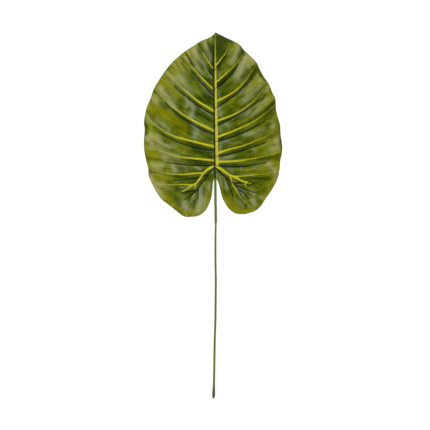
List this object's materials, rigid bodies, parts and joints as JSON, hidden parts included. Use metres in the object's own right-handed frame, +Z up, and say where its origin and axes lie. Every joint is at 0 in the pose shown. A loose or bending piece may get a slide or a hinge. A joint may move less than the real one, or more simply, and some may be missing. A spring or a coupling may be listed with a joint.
{
  "type": "artificial alocasia leaf",
  "caption": "Broad heart-shaped artificial alocasia leaf of printed pressed cloth on a moulded rib frame, with a long straight plastic-coated stem, lying face up.",
  "frame": {"origin": "on the surface the leaf lies on, under the middle of its outline", "axes": "+Y along the stem towards the leaf's tip, +X to the right of the leaf seen from above, +Z up, out of its face"},
  "size_m": [0.2641, 0.7, 0.024],
  "materials": {
    "leaf_cloth": "printed polyester cloth, heat pressed, with a thin satin coating",
    "rib_plastic": "moulded polyethylene, satin",
    "stem_plastic": "polyethylene coating over the stem, satin with a soft shine"
  },
  "bodies": {
    "root": {"blade": "leaf_cloth", "rib_frame": "rib_plastic", "stem": "stem_plastic"}
  },
  "joints": []
}
